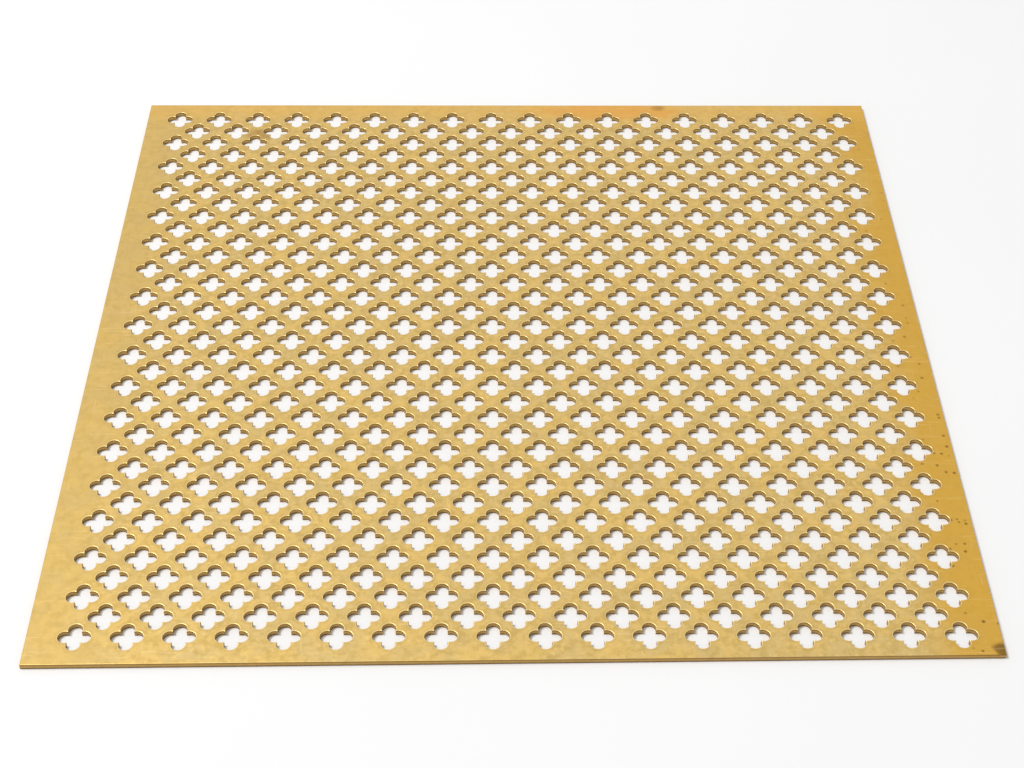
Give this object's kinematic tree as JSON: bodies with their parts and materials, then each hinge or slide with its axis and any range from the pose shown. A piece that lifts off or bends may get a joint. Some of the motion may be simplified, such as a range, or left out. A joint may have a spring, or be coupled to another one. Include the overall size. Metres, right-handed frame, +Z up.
{
  "type": "perforated metal sheet",
  "caption": "Flat brass sheet pierced all over with staggered rows of four-lobed holes, with a plain margin round the pattern.",
  "frame": {"origin": "middle of the rectangle that just holds the sheet, on the sheet's underside", "axes": "+X along the rows of holes, which is the sheet's longer side; +Y from the front edge to the back edge; +Z up through the metal"},
  "size_m": [0.4676, 0.4584, 0.003],
  "materials": {
    "brass": "satin"
  },
  "bodies": {
    "root": {"perforated_sheet": "brass"}
  },
  "joints": []
}
